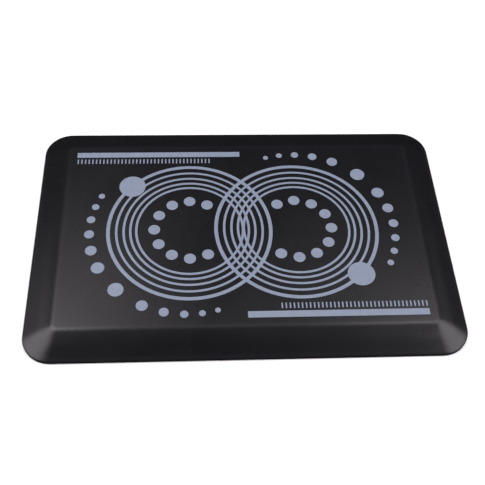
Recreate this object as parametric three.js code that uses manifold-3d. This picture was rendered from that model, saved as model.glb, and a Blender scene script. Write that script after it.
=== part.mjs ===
// Anti-fatigue standing mat: a bevelled cushion with a dense moulded skin over a soft foam core,
// bonded to a non-slip base sheet. A thin printed ornament of plain rings, dots and bars lies on
// the flat top, the same after half a turn.
// Millimetres, +Z up. The origin is the middle of the footprint, on the floor.

import * as THREE from "three";
import { mergeVertices } from "three/addons/utils/BufferGeometryUtils.js";
import Module from "manifold-3d";

const wasm = await Module();
wasm.setup();

// ---- The mat's own sizes ----

const LENGTH = 914.4; // 36 inches, along X
const DEPTH = 609.6; // 24 inches, along Y
const HEIGHT = 31.75; // 1 1/4 inches, floor to the flat top
const CORNER_RADIUS = 61.5; // of the footprint
const BEVEL_WIDTH = 66; // edge of the footprint to the flat top
const TOP_CORNER_RADIUS = 9; // of the flat top's outline
const CREASE_RADIUS = 42; // the soft crease that borders the flat top
const CREASE_TURN = 15; // degrees of slope that the crease takes up
const SHOULDER_RADIUS = 150; // the slow curve from the crease into the straight of the bevel
const LIP_BOTTOM = 0.8; // the skin's lower edge, above the floor
const LIP_TOP = 4.6; // where the upright edge starts to turn into the bevel
const LIP_RADIUS = 3;
const EDGE_BREAK = 0.8; // chamfer under the lip and under the base sheet

const SKIN = 2; // wall of the top cover
const GAP = 0.3; // between the cover and what it encloses
const BASE_THICKNESS = 3;

const CORNER_SEGMENTS = 10;
const LIP_STEPS = 3;
const SHOULDER_STEPS = 2;
const CREASE_STEPS = 3;

// ---- The printed ornament ----

const INK_THICKNESS = 0.25;

const RINGS = {
  centreX: 117.6,
  count: 5,
  outerRadius: 177.7, // to the middle of the line
  shrink: 0.9, // a ring's radius against the next one outside it
  outerLine: 8,
  innerLine: 5.3,
  segments: 48,
};

// One large dot sits on each set's outer ring, on the side away from the other set.
const ORBIT_DOT = { radius: 29.5, angle: -43.5, segments: 32 };

// An open circle of dots lies inside each ring set; the dots facing the other set are left out.
const DOT_CIRCLE = { radius: 77.6, dotRadius: 12.9, places: 12, missing: 3, segments: 20 };

// Graded dots follow an arc outside each ring set and shrink both ways from the largest.
const GRADED = {
  centreX: 121.4,
  radius: 214.5,
  largestAngle: 45.4,
  largestDot: 16.6,
  firstStep: 18.2, // degrees from the largest dot to its neighbours
  nextStep: 12.8, // degrees from those to the dots after them
  runs: [
    { run: "short", turn: 1, count: 5, firstDot: 12.4, dotShrink: 0.83, stepShrink: 0.88 },
    { run: "long", turn: -1, count: 6, firstDot: 14.2, dotShrink: 0.872, stepShrink: 0.91 },
  ],
  segments: 18,
};

const BAR = { start: 0, end: 377, near: 210, far: 225 };

// ---- Materials ----

function material(color, roughness) {
  return new THREE.MeshStandardMaterial({ color, roughness, metalness: 0 });
}

const MATERIALS = {
  skin: material(0x26252a, 0.55),
  foam: material(0x3a3a3c, 0.95),
  base: material(0x1c1c1e, 0.85),
  ink: material(0x959fb2, 0.6),
};

const mat = new THREE.Group();

function add(name, geometry, look, x = 0, y = 0, z = 0) {
  const mesh = new THREE.Mesh(geometry, look);
  mesh.name = name;
  mesh.position.set(x, y, z);
  mat.add(mesh);
}

// ---- The bevelled body: outlines stacked from a profile ----

const radians = THREE.MathUtils.degToRad;

const CREASE_END = radians(90 + CREASE_TURN);
const CREASE_CENTRE = new THREE.Vector2(BEVEL_WIDTH, HEIGHT - CREASE_RADIUS);
const SHOULDER_CENTRE = new THREE.Vector2(Math.cos(CREASE_END), Math.sin(CREASE_END))
  .multiplyScalar(CREASE_RADIUS - SHOULDER_RADIUS)
  .add(CREASE_CENTRE);
const LIP_CENTRE = new THREE.Vector2(LIP_RADIUS, LIP_TOP);

// The straight of the bevel touches the shoulder and the round of the lip.
const BEVEL_START = (() => {
  const apart = SHOULDER_CENTRE.clone().sub(LIP_CENTRE);
  const across = Math.asin((SHOULDER_RADIUS - LIP_RADIUS) / apart.length());
  return Math.PI / 2 + Math.atan2(apart.y, apart.x) + across;
})();

// Half of the mat's section from its side, a distance inside the outer surface: points (inset from
// the footprint's edge, height) from the upright lip, up the bevel, to the flat top.
function edgeProfile(inside) {
  const arc = (centre, radius, from, to, steps) =>
    Array.from({ length: steps + 1 }, (_, i) => {
      const turn = THREE.MathUtils.lerp(from, to, i / steps);
      const r = radius - inside;
      return [centre.x + r * Math.cos(turn), centre.y + r * Math.sin(turn)];
    });
  return [
    ...arc(LIP_CENTRE, LIP_RADIUS, Math.PI, BEVEL_START, LIP_STEPS),
    ...arc(SHOULDER_CENTRE, SHOULDER_RADIUS, BEVEL_START, CREASE_END, SHOULDER_STEPS),
    ...arc(CREASE_CENTRE, CREASE_RADIUS, CREASE_END, Math.PI / 2, CREASE_STEPS).slice(1),
  ];
}

// The footprint's rounded rectangle, drawn in by an inset. Its corners tighten towards the flat top.
function outline([inset, z]) {
  const x = LENGTH / 2 - inset;
  const y = DEPTH / 2 - inset;
  const tightening = (CORNER_RADIUS - TOP_CORNER_RADIUS) / BEVEL_WIDTH;
  const r = CORNER_RADIUS - tightening * inset;
  const shape = new THREE.Shape();
  shape.absarc(x - r, y - r, r, 0, Math.PI / 2);
  shape.absarc(-x + r, y - r, r, Math.PI / 2, Math.PI);
  shape.absarc(-x + r, -y + r, r, Math.PI, 1.5 * Math.PI);
  shape.absarc(x - r, -y + r, r, 1.5 * Math.PI, 2 * Math.PI);
  const points = shape.getPoints(CORNER_SEGMENTS / 2);
  return points.map((p) => new THREE.Vector3(p.x, p.y, z));
}

// A closed solid through stacked outlines, with a flat cap on the first and the last of them.
function stack(profile) {
  const rows = profile.map(outline);
  const count = rows[0].length;
  const corner = (row, i) => rows[row][i % count];
  const faces = [];
  for (let row = 0; row + 1 < rows.length; row += 1) {
    for (let i = 0; i < count; i += 1) {
      faces.push(corner(row, i), corner(row, i + 1), corner(row + 1, i + 1));
      faces.push(corner(row, i), corner(row + 1, i + 1), corner(row + 1, i));
    }
  }
  const last = rows.length - 1;
  const firstMiddle = new THREE.Vector3(0, 0, profile[0][1]);
  const lastMiddle = new THREE.Vector3(0, 0, profile[last][1]);
  for (let i = 0; i < count; i += 1) {
    faces.push(firstMiddle, corner(0, i + 1), corner(0, i));
    faces.push(lastMiddle, corner(last, i), corner(last, i + 1));
  }
  return new THREE.BufferGeometry().setFromPoints(faces);
}

// The cover is open underneath: its profile runs down the inside and back up the outside.
function topCover() {
  const inner = [[SKIN, LIP_BOTTOM], ...edgeProfile(SKIN)].reverse();
  const outer = [[EDGE_BREAK, LIP_BOTTOM], [0, LIP_BOTTOM + EDGE_BREAK], ...edgeProfile(0)];
  return stack([...inner, ...outer]);
}

function foamCore() {
  const inset = SKIN + GAP;
  return stack([[inset, BASE_THICKNESS], ...edgeProfile(inset)]);
}

function baseSheet() {
  const inset = SKIN + GAP;
  return stack([
    [inset + EDGE_BREAK, 0],
    [inset, EDGE_BREAK],
    [inset, BASE_THICKNESS],
  ]);
}

add("top_cover", topCover(), MATERIALS.skin);
add("foam_core", foamCore(), MATERIALS.foam);
add("base_sheet", baseSheet(), MATERIALS.base);

// ---- The print ----

// ExtrudeGeometry gives an arc two segments for each of its curve segments.
function inked(shape, segments) {
  return new THREE.ExtrudeGeometry(shape, {
    depth: INK_THICKNESS,
    curveSegments: segments / 2,
    bevelEnabled: false,
  });
}

function discShape(radius, x = 0, y = 0) {
  return new THREE.Shape().absarc(x, y, radius, 0, 2 * Math.PI);
}

function ringShape(x, radius, line) {
  const shape = discShape(radius + line / 2, x);
  shape.holes.push(new THREE.Path().absarc(x, 0, radius - line / 2, 0, 2 * Math.PI, true));
  return shape;
}

// A point at an angle and distance from the middle of the right-hand (+1) or left-hand (-1) set,
// where the left-hand set is the right-hand one after half a turn.
function around(side, centreX, radius, degrees) {
  const x = centreX + radius * Math.cos(radians(degrees));
  const y = radius * Math.sin(radians(degrees));
  return [side * x, side * y];
}

function solid(geometry) {
  geometry.deleteAttribute("normal");
  geometry.deleteAttribute("uv");
  const merged = mergeVertices(geometry);
  const vertProperties = merged.attributes.position.array;
  const triVerts = new Uint32Array(merged.index.array);
  return new wasm.Manifold(new wasm.Mesh({ numProp: 3, vertProperties, triVerts }));
}

function geometryOf(body) {
  const { vertProperties, triVerts } = body.getMesh();
  const geometry = new THREE.BufferGeometry();
  geometry.setAttribute("position", new THREE.BufferAttribute(vertProperties, 3));
  geometry.setIndex(new THREE.BufferAttribute(triVerts, 1));
  return geometry;
}

// Both ring sets and their large dots are one film, because they cross.
function crossingRings() {
  const films = [];
  for (const side of [1, -1]) {
    for (let i = 0; i < RINGS.count; i += 1) {
      const line = i === 0 ? RINGS.outerLine : RINGS.innerLine;
      const radius = RINGS.outerRadius * RINGS.shrink ** i;
      films.push(inked(ringShape(side * RINGS.centreX, radius, line), RINGS.segments));
    }
    const [x, y] = around(side, RINGS.centreX, RINGS.outerRadius, ORBIT_DOT.angle);
    films.push(inked(discShape(ORBIT_DOT.radius, x, y), ORBIT_DOT.segments));
  }
  return geometryOf(films.map(solid).reduce((all, film) => all.add(film)));
}

function addDot(name, radius, segments, [x, y]) {
  add(name, inked(discShape(radius), segments), MATERIALS.ink, x, y, HEIGHT);
}

function addDotCircle(side, sideName) {
  const step = 360 / DOT_CIRCLE.places;
  const count = DOT_CIRCLE.places - DOT_CIRCLE.missing;
  for (let i = 0; i < count; i += 1) {
    const angle = (i - (count - 1) / 2) * step;
    const place = around(side, RINGS.centreX, DOT_CIRCLE.radius, angle);
    addDot(`print_dot_${sideName}_${i + 1}`, DOT_CIRCLE.dotRadius, DOT_CIRCLE.segments, place);
  }
}

function addGradedDots(side, sideName) {
  const put = (name, radius, angle) => {
    const place = around(side, GRADED.centreX, GRADED.radius, angle);
    addDot(`print_graded_${sideName}_${name}`, radius, GRADED.segments, place);
  };
  put("largest", GRADED.largestDot, GRADED.largestAngle);
  for (const { run, turn, count, firstDot, dotShrink, stepShrink } of GRADED.runs) {
    let away = GRADED.firstStep;
    for (let i = 0; i < count; i += 1) {
      put(`${run}_${i + 1}`, firstDot * dotShrink ** i, GRADED.largestAngle + turn * away);
      away += GRADED.nextStep * stepShrink ** i;
    }
  }
}

// The right-hand set's bar lies along the front, and the left-hand set's along the back.
function addBar(side, sideName) {
  const shape = new THREE.Shape();
  shape.moveTo(side * BAR.start, -side * BAR.far);
  shape.lineTo(side * BAR.end, -side * BAR.far);
  shape.lineTo(side * BAR.end, -side * BAR.near);
  shape.lineTo(side * BAR.start, -side * BAR.near);
  add(`print_bar_${sideName}`, inked(shape, 1), MATERIALS.ink, 0, 0, HEIGHT);
}

add("print_rings", crossingRings(), MATERIALS.ink, 0, 0, HEIGHT);
addDotCircle(1, "right");
addDotCircle(-1, "left");
addGradedDots(1, "right");
addGradedDots(-1, "left");
addBar(1, "front");
addBar(-1, "back");

export default mat;
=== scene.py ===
"""The looks of an anti-fatigue standing mat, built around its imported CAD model.

Metres, +Z up, origin at the middle of the footprint on the floor, as in the CAD model.
"""

import math

import bmesh
import bpy
from mathutils import Matrix, Vector, noise


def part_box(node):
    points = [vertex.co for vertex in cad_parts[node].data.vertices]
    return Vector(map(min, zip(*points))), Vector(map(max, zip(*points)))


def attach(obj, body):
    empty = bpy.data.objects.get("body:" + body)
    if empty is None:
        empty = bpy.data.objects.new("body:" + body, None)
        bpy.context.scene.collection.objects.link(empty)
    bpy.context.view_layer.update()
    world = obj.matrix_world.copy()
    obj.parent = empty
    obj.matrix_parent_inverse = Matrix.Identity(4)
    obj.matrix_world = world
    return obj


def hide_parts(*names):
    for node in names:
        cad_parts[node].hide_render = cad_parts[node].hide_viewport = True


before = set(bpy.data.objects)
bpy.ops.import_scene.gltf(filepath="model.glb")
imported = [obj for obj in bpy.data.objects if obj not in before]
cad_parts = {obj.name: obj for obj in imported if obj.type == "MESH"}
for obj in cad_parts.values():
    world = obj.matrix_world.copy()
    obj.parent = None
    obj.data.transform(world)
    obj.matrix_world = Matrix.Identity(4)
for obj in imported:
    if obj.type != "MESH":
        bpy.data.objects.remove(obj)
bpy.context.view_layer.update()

MM = 0.001

# ---- Sizes that the frame gives ----

COVER_LOW, COVER_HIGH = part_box("top_cover")
CORE_LOW, CORE_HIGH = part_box("foam_core")
BASE_LOW, BASE_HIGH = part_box("base_sheet")
RINGS_LOW, RINGS_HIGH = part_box("print_rings")

HALF_X = COVER_HIGH.x
HALF_Y = COVER_HIGH.y
TOP_Z = COVER_HIGH.z
INK_TOP_Z = RINGS_HIGH.z
CORE_INSET = COVER_HIGH.x - CORE_HIGH.x

# ---- The bevelled body's own sizes ----

CORNER_RADIUS = 61.5 * MM  # of the footprint
TOP_CORNER_RADIUS = 9 * MM  # of the flat top's outline
BEVEL_WIDTH = 66 * MM  # edge of the footprint to the flat top
CREASE_RADIUS = 42 * MM  # the soft crease that borders the flat top
CREASE_TURN = math.radians(15)
SHOULDER_RADIUS = 150 * MM  # the slow curve from the crease into the straight of the bevel
LIP_TOP = 4.6 * MM
LIP_RADIUS = 3 * MM
LIP_BREAK = 0.8 * MM  # the small round under the lip and under the base sheet
SKIN = 2 * MM
SHARPEST_CORNER = 3 * MM  # the least radius of an outline's corner, near the mat's middle
MIDDLE_STRIP = 6 * MM  # half the width of the strip that closes the flat top's outlines

# ---- The camera ----

CAMERA_AZIMUTH = -5.66  # degrees
CAMERA_ELEVATION = 54.51
CAMERA_ROLL = 3.87
CAMERA_DISTANCE = 1.7421
CAMERA_LENS = 59.54  # mm on a 36 mm sensor
CAMERA_AIM = Vector((-0.0036, -0.0371, TOP_Z))


def make_camera():
    azimuth = math.radians(CAMERA_AZIMUTH)
    elevation = math.radians(CAMERA_ELEVATION)
    flat = math.cos(elevation)
    back = Vector((math.sin(azimuth) * flat, -math.cos(azimuth) * flat, math.sin(elevation)))
    level = Vector((math.cos(azimuth), math.sin(azimuth), 0))
    turn = Matrix((level, back.cross(level), back)).transposed()
    roll = Matrix.Rotation(math.radians(CAMERA_ROLL), 3, "Z")
    camera = bpy.data.objects.new("camera", bpy.data.cameras.new("camera"))
    camera.data.lens = CAMERA_LENS
    camera.data.clip_start = 0.05
    camera.matrix_world = Matrix.Translation(CAMERA_AIM + back * CAMERA_DISTANCE) @ (
        turn @ roll
    ).to_4x4()
    bpy.context.scene.collection.objects.link(camera)
    bpy.context.scene.camera = camera


make_camera()


# ---- Materials ----


class Look:
    """A Principled material and short ways to add nodes to it."""

    def __init__(self, name, roughness, specular=0.5):
        self.material = bpy.data.materials.new(name)
        self.material.use_nodes = True
        self.nodes = self.material.node_tree.nodes
        self.links = self.material.node_tree.links
        self.shader = self.nodes["Principled BSDF"]
        self.shader.inputs["Roughness"].default_value = roughness
        self.shader.inputs["Specular IOR Level"].default_value = specular
        self.place = self.add("ShaderNodeTexCoord").outputs["Object"]

    def add(self, kind, **settings):
        node = self.nodes.new(kind)
        for name, value in settings.items():
            setattr(node, name, value)
        return node

    def noise(self, per_metre, detail=3.0, roughness=0.5):
        node = self.add("ShaderNodeTexNoise")
        node.inputs["Scale"].default_value = per_metre
        node.inputs["Detail"].default_value = detail
        node.inputs["Roughness"].default_value = roughness
        self.links.new(self.place, node.inputs["Vector"])
        return node.outputs["Fac"]

    def cells(self, per_metre, feature="SMOOTH_F1"):
        node = self.add("ShaderNodeTexVoronoi", feature=feature)
        node.inputs["Scale"].default_value = per_metre
        self.links.new(self.place, node.inputs["Vector"])
        return node.outputs["Distance"]

    def attribute(self, name):
        return self.add("ShaderNodeAttribute", attribute_name=name).outputs["Fac"]

    def spread(self, value, low, high, from_low=0.3, from_high=0.7):
        """value, which a noise gives from about 0.3 to 0.7, spread out from low to high."""
        node = self.add("ShaderNodeMapRange")
        for name, number in zip(
            ("From Min", "From Max", "To Min", "To Max"), (from_low, from_high, low, high)
        ):
            node.inputs[name].default_value = number
        self.links.new(value, node.inputs["Value"])
        return node.outputs["Result"]

    def blend(self, share, colour_a, colour_b):
        """colour_a where share is 0, colour_b where it is 1; each is three numbers or a socket."""
        node = self.add("ShaderNodeMix", data_type="RGBA")
        self.links.new(share, node.inputs["Factor"])
        for socket, colour in ((node.inputs[6], colour_a), (node.inputs[7], colour_b)):
            if isinstance(colour, tuple):
                socket.default_value = (*colour, 1.0)
            else:
                self.links.new(colour, socket)
        return node.outputs[2]

    def bump(self, height, distance, strength=1.0, under=None):
        node = self.add("ShaderNodeBump")
        node.inputs["Distance"].default_value = distance
        node.inputs["Strength"].default_value = strength
        self.links.new(height, node.inputs["Height"])
        if under:
            self.links.new(under, node.inputs["Normal"])
        return node.outputs["Normal"]

    def finish(self, colour=None, roughness=None, normal=None):
        for name, socket in (("Base Color", colour), ("Roughness", roughness), ("Normal", normal)):
            if socket:
                self.links.new(socket, self.shader.inputs[name])
        return self.material


def skin_material():
    """Satin black polyurethane skin: fine moulded grain, and a painted highlight that lightens its
    crease and its lip's round.
    """
    look = Look("polyurethane_skin", roughness=0.28)
    mottle = look.spread(look.noise(14.0, detail=4.0), 0.0, 1.0)
    black = look.blend(mottle, (0.0056, 0.0059, 0.0073), (0.0070, 0.0073, 0.0089))
    # Painted highlight: the skin's colour is lifted towards this lighter grey on the crease and the
    # lip's round.
    colour = look.blend(look.attribute("painted_highlight"), black, (0.0120, 0.0120, 0.0145))
    smears = look.noise(9.0, detail=5.0, roughness=0.6)
    roughness = look.spread(smears, 0.25, 0.31)
    normal = look.bump(look.cells(420.0), 0.045 * MM)
    normal = look.bump(look.noise(900.0, detail=2.0), 0.02 * MM, under=normal)
    return look.finish(colour, roughness, normal)


def ink_material():
    """Screen-printed film over the skin: satin steel blue, slightly uneven, with a faint weave."""
    look = Look("printed_ink", roughness=0.5)
    mottle = look.spread(look.noise(60.0, detail=4.0), 0.0, 1.0)
    colour = look.blend(mottle, (0.190, 0.227, 0.298), (0.210, 0.251, 0.328))
    roughness = look.spread(look.noise(35.0), 0.40, 0.50)
    return look.finish(colour, roughness, look.bump(look.cells(420.0), 0.03 * MM))


def foam_material():
    """Charcoal closed-cell foam."""
    look = Look("foam", roughness=0.9, specular=0.25)
    cells = look.cells(600.0)
    shade = look.spread(cells, 0.0, 1.0, 0.0, 0.6)
    colour = look.blend(shade, (0.055, 0.055, 0.058), (0.028, 0.028, 0.030))
    roughness = look.spread(look.noise(200.0), 0.84, 0.94)
    return look.finish(colour, roughness, look.bump(cells, 0.4 * MM))


def base_material():
    """Matt black non-slip rubber."""
    look = Look("non_slip_rubber", roughness=0.75, specular=0.35)
    mottle = look.spread(look.noise(18.0, detail=4.0), 0.0, 1.0)
    colour = look.blend(mottle, (0.0110, 0.0110, 0.0115), (0.0180, 0.0180, 0.0185))
    roughness = look.spread(look.noise(40.0), 0.68, 0.82)
    return look.finish(colour, roughness, look.bump(look.noise(1100.0), 0.08 * MM))


SKIN_LOOK = skin_material()
INK_LOOK = ink_material()
FOAM_LOOK = foam_material()
BASE_LOOK = base_material()


# ---- The bevelled body: outlines stacked from a profile ----

SIDE_STEP = 20 * MM  # between points along a straight side
CORNER_STEPS = 14
EDGE_BREAK_STEPS = 4

CREASE_END = math.pi / 2 + CREASE_TURN
CREASE_CENTRE = Vector((BEVEL_WIDTH, TOP_Z - CREASE_RADIUS))
SHOULDER_CENTRE = CREASE_CENTRE - (SHOULDER_RADIUS - CREASE_RADIUS) * Vector(
    (math.cos(CREASE_END), math.sin(CREASE_END))
)
LIP_CENTRE = Vector((LIP_RADIUS, LIP_TOP))


def bevel_start():
    """The angle at which the straight of the bevel touches both the lip's round and the shoulder."""
    apart = SHOULDER_CENTRE - LIP_CENTRE
    across = math.asin((SHOULDER_RADIUS - LIP_RADIUS) / apart.length)
    return math.pi / 2 + math.atan2(apart.y, apart.x) + across


BEVEL_START = bevel_start()


def arc(centre, radius, start, end, steps):
    """Points (inset, height) round a centre from one angle to another, in radians."""
    turns = [start + (end - start) * i / steps for i in range(steps + 1)]
    return [(centre[0] + radius * math.cos(t), centre[1] + radius * math.sin(t)) for t in turns]


def edge_profile(inside, lip_steps=3, bevel_steps=3, shoulder_steps=3, crease_steps=4):
    """The mat's section from the upright lip, up the bevel, to the flat top, a distance inside
    its outer surface."""
    lip = arc(LIP_CENTRE, LIP_RADIUS - inside, math.pi, BEVEL_START, lip_steps)
    shoulder = arc(
        SHOULDER_CENTRE, SHOULDER_RADIUS - inside, BEVEL_START, CREASE_END, shoulder_steps
    )
    crease = arc(CREASE_CENTRE, CREASE_RADIUS - inside, CREASE_END, math.pi / 2, crease_steps)
    start, end = Vector(lip[-1]), Vector(shoulder[0])
    bevel = [tuple(start.lerp(end, i / bevel_steps)) for i in range(1, bevel_steps)]
    return [*lip, *bevel, *shoulder, *crease[1:]]


def flat_top(start, steps, z):
    """Insets from the crease to a narrow strip along the middle, closer near the crease."""
    end = HALF_Y - MIDDLE_STRIP
    return [(start + (end - start) * (i / steps) ** 1.8, z) for i in range(1, steps + 1)]


def outline(inset, z):
    """The footprint's rounded rectangle drawn in by an inset, anticlockwise seen from above.
    Its corners tighten towards the flat top."""
    half_x = HALF_X - inset
    half_y = HALF_Y - inset
    tightening = (CORNER_RADIUS - TOP_CORNER_RADIUS) / BEVEL_WIDTH
    radius = max(CORNER_RADIUS - tightening * inset, SHARPEST_CORNER)
    corners = (
        (half_x - radius, half_y - radius),
        (-half_x + radius, half_y - radius),
        (-half_x + radius, -half_y + radius),
        (half_x - radius, -half_y + radius),
    )
    points = []
    for i, (x, y) in enumerate(corners):
        for step in range(CORNER_STEPS + 1):
            turn = (i + step / CORNER_STEPS) * math.pi / 2
            points.append(Vector((x + radius * math.cos(turn), y + radius * math.sin(turn), z)))
        length = 2 * (HALF_X if i % 2 == 0 else HALF_Y)
        steps = round(length / SIDE_STEP)
        turn = (i + 1) * math.pi / 2
        next_x, next_y = corners[(i + 1) % 4]
        arm = Vector((radius * math.cos(turn), radius * math.sin(turn), z))
        start = Vector((x, y, 0)) + arm
        end = Vector((next_x, next_y, 0)) + arm
        points.extend(start.lerp(end, step / steps) for step in range(1, steps))
    return points


def circle(x, y, radius, segments):
    turns = (2 * math.pi * i / segments for i in range(segments))
    return [(x + radius * math.cos(t), y + radius * math.sin(t)) for t in turns]


def mesh_of(bm, name):
    bmesh.ops.recalc_face_normals(bm, faces=bm.faces)
    mesh = bpy.data.meshes.new(name)
    bm.to_mesh(mesh)
    bm.free()
    mesh.shade_smooth()
    return mesh


def stack(bm, profile):
    """Adds a closed body through the profile's outlines, capped at both ends. Returns its rows."""
    rows = [[bm.verts.new(point) for point in outline(*place)] for place in profile]
    count = len(rows[0])
    for lower, upper in zip(rows, rows[1:]):
        for i in range(count):
            j = (i + 1) % count
            bm.faces.new((lower[i], lower[j], upper[j], upper[i]))
    bm.faces.new(rows[0][::-1])
    bm.faces.new(rows[-1])
    return rows


def add_piece(name, mesh, look, nodes=()):
    piece = bpy.data.objects.new(name, mesh)
    mesh.materials.append(look)
    bpy.context.scene.collection.objects.link(piece)
    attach(piece, "root")
    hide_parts(*nodes)
    return piece


LONG_WAVE = 0.11  # metres from crest to crest, about
LONG_WAVE_HEIGHT = 0.22 * MM
SHORT_WAVE = 0.045
SHORT_WAVE_HEIGHT = 0.06 * MM
WAVE_FADE = 26 * MM  # over which the waviness dies out towards the lip and the flat top


def waviness(point, inset):
    """How far the moulded bevel stands off its true shape there, a fraction of a millimetre."""
    share = max(min(1, inset / WAVE_FADE, (BEVEL_WIDTH - inset) / WAVE_FADE), 0)
    long_wave = LONG_WAVE_HEIGHT * noise.noise(point / LONG_WAVE)
    short_wave = SHORT_WAVE_HEIGHT * noise.noise(point / SHORT_WAVE)
    return share**2 * (3 - 2 * share) * (long_wave + short_wave)


def painted_highlight(inset, z):
    """How much painted highlight lightens the skin there, from 0 to 1: most on the crease and on the
    lip's round.
    """
    crease = math.exp(-(((inset - BEVEL_WIDTH + 2 * MM) / (5 * MM)) ** 2))
    lip = math.exp(-(((inset - LIP_RADIUS) / (4 * MM)) ** 2)) * (z > LIP_TOP)
    return max(0.45 * crease, 0.8 * lip)


def make_cover():
    """The skin, open underneath: the profile runs down its inside and back up its outside."""
    inner = [(SKIN, COVER_LOW.z), *edge_profile(SKIN)][::-1]
    lower_edge = (LIP_BREAK, COVER_LOW.z + LIP_BREAK)
    outer = arc(lower_edge, LIP_BREAK, 1.5 * math.pi, math.pi, EDGE_BREAK_STEPS)
    outer += edge_profile(0, lip_steps=6, bevel_steps=6, shoulder_steps=6, crease_steps=9)
    outer += flat_top(outer[-1][0], 12, TOP_Z)
    bm = bmesh.new()
    rows = stack(bm, [*inner, *outer])
    bm.verts.index_update()
    # Each outside point's share of painted highlight, kept as a point attribute that lightens the
    # skin's colour.
    highlight_amount = {}
    for row, (inset, z) in zip(rows[len(inner) :], outer):
        for vertex in row:
            highlight_amount[vertex.index] = painted_highlight(inset, z)
            vertex.co.z += waviness(vertex.co, inset)
    mesh = mesh_of(bm, "top_cover_skin")
    attribute = mesh.attributes.new("painted_highlight", "FLOAT", "POINT")
    for index, value in highlight_amount.items():
        attribute.data[index].value = value
    cover = add_piece("top_cover_skin", mesh, SKIN_LOOK, ["top_cover"])


def make_core():
    bm = bmesh.new()
    stack(bm, [(CORE_INSET, CORE_LOW.z), *edge_profile(CORE_INSET)])
    core = add_piece("foam_cushion", mesh_of(bm, "foam_cushion"), FOAM_LOOK, ["foam_core"])


TREAD_DEPTH = 0.8 * MM
TREAD_RIM = 12 * MM
STUD_PITCH = 20 * MM
STUD_FOOT = 4.5 * MM  # radius on the floor
STUD_ROOT = 5.5 * MM  # radius inside the sheet
STUD_SUNK = 0.3 * MM  # how deep its root is in the sheet
STUD_SIDES = 12


def add_stud(bm, x, y):
    """A low round stud that stands on the floor and is rooted in the sheet."""
    levels = ((STUD_FOOT, 0.0), (STUD_ROOT, TREAD_DEPTH + STUD_SUNK))
    rings = [
        [bm.verts.new((*point, z)) for point in circle(x, y, radius, STUD_SIDES)]
        for radius, z in levels
    ]
    low, high = rings
    for i in range(STUD_SIDES):
        j = (i + 1) % STUD_SIDES
        bm.faces.new((low[i], low[j], high[j], high[i]))
    bm.faces.new(low[::-1])
    bm.faces.new(high)


def make_base():
    """The base sheet: a flat rim on the floor round a shallow tread of staggered studs."""
    bm = bmesh.new()
    inset = HALF_X - BASE_HIGH.x
    recess = [(inset + TREAD_RIM + TREAD_DEPTH, TREAD_DEPTH), (inset + TREAD_RIM, 0.0)]
    lower_edge = (inset + LIP_BREAK, LIP_BREAK)
    edge = arc(lower_edge, LIP_BREAK, 1.5 * math.pi, math.pi, EDGE_BREAK_STEPS)
    stack(bm, [*recess, *edge, (inset, BASE_HIGH.z)])
    margin = inset + TREAD_RIM + STUD_PITCH / 2
    row_pitch = STUD_PITCH * math.sqrt(3) / 2
    rows = math.floor((HALF_Y - margin) / row_pitch)
    for row in range(-rows, rows + 1):
        shift = (row % 2) / 2
        columns = math.floor((HALF_X - margin) / STUD_PITCH - shift)
        for column in range(-columns - row % 2, columns + 1):
            x, y = (column + shift) * STUD_PITCH, row * row_pitch
            past_x = max(abs(x) - HALF_X + CORNER_RADIUS, 0)
            past_y = max(abs(y) - HALF_Y + CORNER_RADIUS, 0)
            if math.hypot(past_x, past_y) < CORNER_RADIUS - margin:
                add_stud(bm, x, y)
    add_piece("non_slip_base", mesh_of(bm, "non_slip_base"), BASE_LOOK, ["base_sheet"])


make_cover()
make_core()
make_base()


# ---- The print ----

RING_SEGMENTS = 160
DOT_SEGMENTS = 64


def add_film(bm, outer, inner=()):
    """Adds a thin flat film between an outer and an inner outline, or a full one with no inner."""

    def wall(points):
        low = [bm.verts.new((x, y, TOP_Z)) for x, y in points]
        high = [bm.verts.new((x, y, INK_TOP_Z)) for x, y in points]
        for i in range(len(points)):
            j = (i + 1) % len(points)
            bm.faces.new((low[i], low[j], high[j], high[i]))
        return low, high

    low, high = wall(outer)
    if not inner:
        bm.faces.new(low[::-1])
        bm.faces.new(high)
        return
    inner_low, inner_high = wall(inner)
    for i in range(len(outer)):
        j = (i + 1) % len(outer)
        bm.faces.new((high[i], high[j], inner_high[j], inner_high[i]))
        bm.faces.new((low[j], low[i], inner_low[i], inner_low[j]))


def film_piece(name, outlines, nodes=()):
    """One piece of several separate films of ink, in place of the CAD model's nodes."""
    bm = bmesh.new()
    for outer in outlines:
        add_film(bm, outer)
    mesh = mesh_of(bm, name)
    mesh.shade_flat()
    return add_piece(name, mesh, INK_LOOK, nodes)


def dot_outline(node):
    low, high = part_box(node)
    centre = (low + high) / 2
    return circle(centre.x, centre.y, (high.x - low.x) / 2, DOT_SEGMENTS)


def bar_outline(node):
    low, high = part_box(node)
    return [(low.x, low.y), (high.x, low.y), (high.x, high.y), (low.x, high.y)]


def make_dots():
    for kind, dots in (("dot", "inner_dots"), ("graded", "graded_dots")):
        for side in ("left", "right"):
            nodes = sorted(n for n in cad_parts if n.startswith(f"print_{kind}_{side}_"))
            film_piece(f"ink_{dots}_{side}", [dot_outline(n) for n in nodes], nodes)


def make_bars():
    for side in ("front", "back"):
        node = f"print_bar_{side}"
        film_piece(f"ink_bar_{side}", [bar_outline(node)], [node])


make_dots()
make_bars()

RING_COUNT = 5
RING_SHRINK = 0.9  # a ring's radius against the next one outside it
OUTER_LINE = 8 * MM
INNER_LINE = 5.3 * MM
ORBIT_DOT_RADIUS = 29.5 * MM
ORBIT_DOT_ANGLE = math.radians(-43.5)


def joined(base, others):
    """base with the other films joined on, as one mesh with no faces inside."""
    for other in others:
        union = base.modifiers.new("union", "BOOLEAN")
        union.operation = "UNION"
        union.solver = "EXACT"
        union.object = other
    graph = bpy.context.evaluated_depsgraph_get()
    mesh = bpy.data.meshes.new_from_object(base.evaluated_get(graph))
    for film in (base, *others):
        bpy.data.objects.remove(film)
    return mesh


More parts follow.
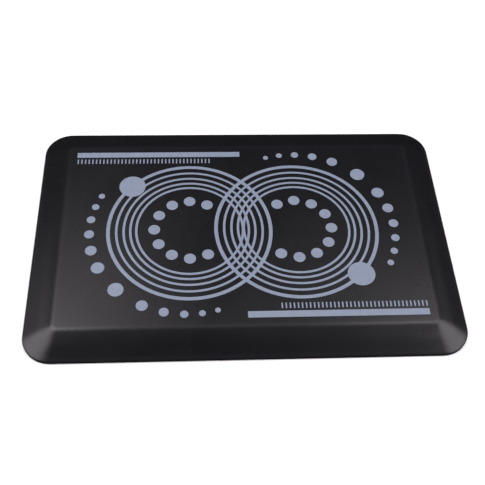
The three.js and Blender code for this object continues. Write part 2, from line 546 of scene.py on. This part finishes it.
def loose_film(fill):
    """An object that is not a piece yet, with the films that fill adds to its mesh."""
    bm = bmesh.new()
    fill(bm)
    film = bpy.data.objects.new("film", mesh_of(bm, "film"))
    bpy.context.scene.collection.objects.link(film)
    return film


def make_rings():
    """Both ring sets and their large dots as one film, because they cross."""
    outer_radius = (RINGS_HIGH.y - RINGS_LOW.y) / 2 - OUTER_LINE / 2
    centre_x = RINGS_HIGH.x - outer_radius - OUTER_LINE / 2

    def ring_set(side):
        def fill(bm):
            for i in range(RING_COUNT):
                line = OUTER_LINE if i == 0 else INNER_LINE
                radius = outer_radius * RING_SHRINK**i
                edges = (radius + line / 2, radius - line / 2)
                add_film(bm, *(circle(side * centre_x, 0, r, RING_SEGMENTS) for r in edges))
        return loose_film(fill)

    def orbit_dots(bm):
        for side in (1, -1):
            x = side * (centre_x + outer_radius * math.cos(ORBIT_DOT_ANGLE))
            y = side * outer_radius * math.sin(ORBIT_DOT_ANGLE)
            add_film(bm, circle(x, y, ORBIT_DOT_RADIUS, RING_SEGMENTS))

    mesh = joined(ring_set(1), [ring_set(-1), loose_film(orbit_dots)])
    mesh.name = "ink_rings"
    mesh.shade_flat()
    add_piece("ink_rings", mesh, INK_LOOK, ["print_rings"])


make_rings()

# A plain row of equal ticks lies along the inner side of each bar.
TICK = Vector((3.0, 13.3)) * MM
TICK_PITCH = 8.4 * MM
TICK_COUNT = 37
TICK_GAP = 5.7 * MM  # to the bar
TICK_INDENT = 1.5 * MM  # of the outermost tick, from the bar's end


def make_ticks():
    low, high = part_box("print_bar_front")
    start = high.x - TICK_INDENT
    bottom = high.y + TICK_GAP
    top = bottom + TICK.y
    for side, name in ((1, "front"), (-1, "back")):
        outlines = []
        for i in range(TICK_COUNT):
            right = start - i * TICK_PITCH
            left = right - TICK.x
            corners = ((left, bottom), (right, bottom), (right, top), (left, top))
            outlines.append([(side * x, side * y) for x, y in corners])
        film_piece(f"ink_ticks_{name}", outlines)


make_ticks()


# ---- The studio ----


FLOOR_SIZE = 16


def make_floor():
    """A plain pale floor. The skin doesn't mirror it, so the lip and the bevel stay dark."""
    bpy.ops.mesh.primitive_grid_add(x_subdivisions=8, y_subdivisions=8, size=FLOOR_SIZE)
    floor = bpy.context.object
    floor.name = "floor"
    look = Look("pale_floor", roughness=0.9, specular=0.1)
    shade = look.spread(look.noise(3.0), 0.0, 1.0)
    floor.data.materials.append(look.finish(look.blend(shade, (0.93,) * 3, (0.95,) * 3)))
    floor.visible_glossy = False


STUDIO_RADIUS = 3.0  # metres from the mat to every softbox
FILL_HEIGHT = 4.0
FILL_SIZE = 4.0
FILL_BRIGHTNESS = 1.5
WORLD_BRIGHTNESS = 0.02

# Degrees round from the front, degrees up, width and height in metres, and brightness.
SOFTBOXES = {
    "left": (275, 42, 2.1, 2.0, 2.65),
    "right": (80, 42, 2.1, 2.0, 2.5),
    "high_left": (240, 62, 0.9, 0.9, 4.5),
    "high_right": (120, 62, 0.9, 0.9, 2.9),
    "low_left": (250, 27, 1.05, 0.9, 0.54),
    "low_right": (110, 27, 1.05, 0.9, 0.24),
    "back_left": (210, 60, 0.8, 0.9, 0.95),
    "back_right": (150, 60, 0.8, 0.9, 0.26),
    "top": (180, 76, 0.8, 0.9, 0.4),
}
SOFTBOX_TINT = (1.0, 0.93, 0.98)


def place_light(name, round_from_front, up, distance, width, height, brightness):
    """A soft rectangular light that faces the middle of the mat."""
    turn, rise = math.radians(round_from_front), math.radians(up)
    flat = math.cos(rise)
    away = Vector((math.sin(turn) * flat, -math.cos(turn) * flat, math.sin(rise)))
    lamp = bpy.data.lights.new(name, "AREA")
    lamp.shape = "RECTANGLE"
    lamp.size = width
    lamp.size_y = height
    lamp.energy = 4 * width * height * brightness
    light = bpy.data.objects.new(name, lamp)
    light.location = away * distance
    light.rotation_mode = "QUATERNION"
    light.rotation_quaternion = away.to_track_quat("Z", "Y")
    bpy.context.scene.collection.objects.link(light)
    return light


def make_lights():
    """Softboxes that the skin mirrors, and a fill from overhead that it doesn't."""
    for name, (turn, up, width, height, brightness) in SOFTBOXES.items():
        softbox = place_light(
            f"softbox_{name}", turn, up, STUDIO_RADIUS, width, height, brightness
        )
        softbox.data.color = SOFTBOX_TINT
    fill = place_light("overhead_fill", 0, 90, FILL_HEIGHT, FILL_SIZE, FILL_SIZE, FILL_BRIGHTNESS)
    fill.visible_glossy = False


def make_world():
    world = bpy.data.worlds.new("studio")
    world.use_nodes = True
    background = world.node_tree.nodes["Background"]
    background.inputs["Color"].default_value = (1, 1, 1, 1)
    background.inputs["Strength"].default_value = WORLD_BRIGHTNESS
    bpy.context.scene.world = world


make_floor()
make_world()
make_lights()
bpy.context.scene.view_settings.view_transform = "Standard"
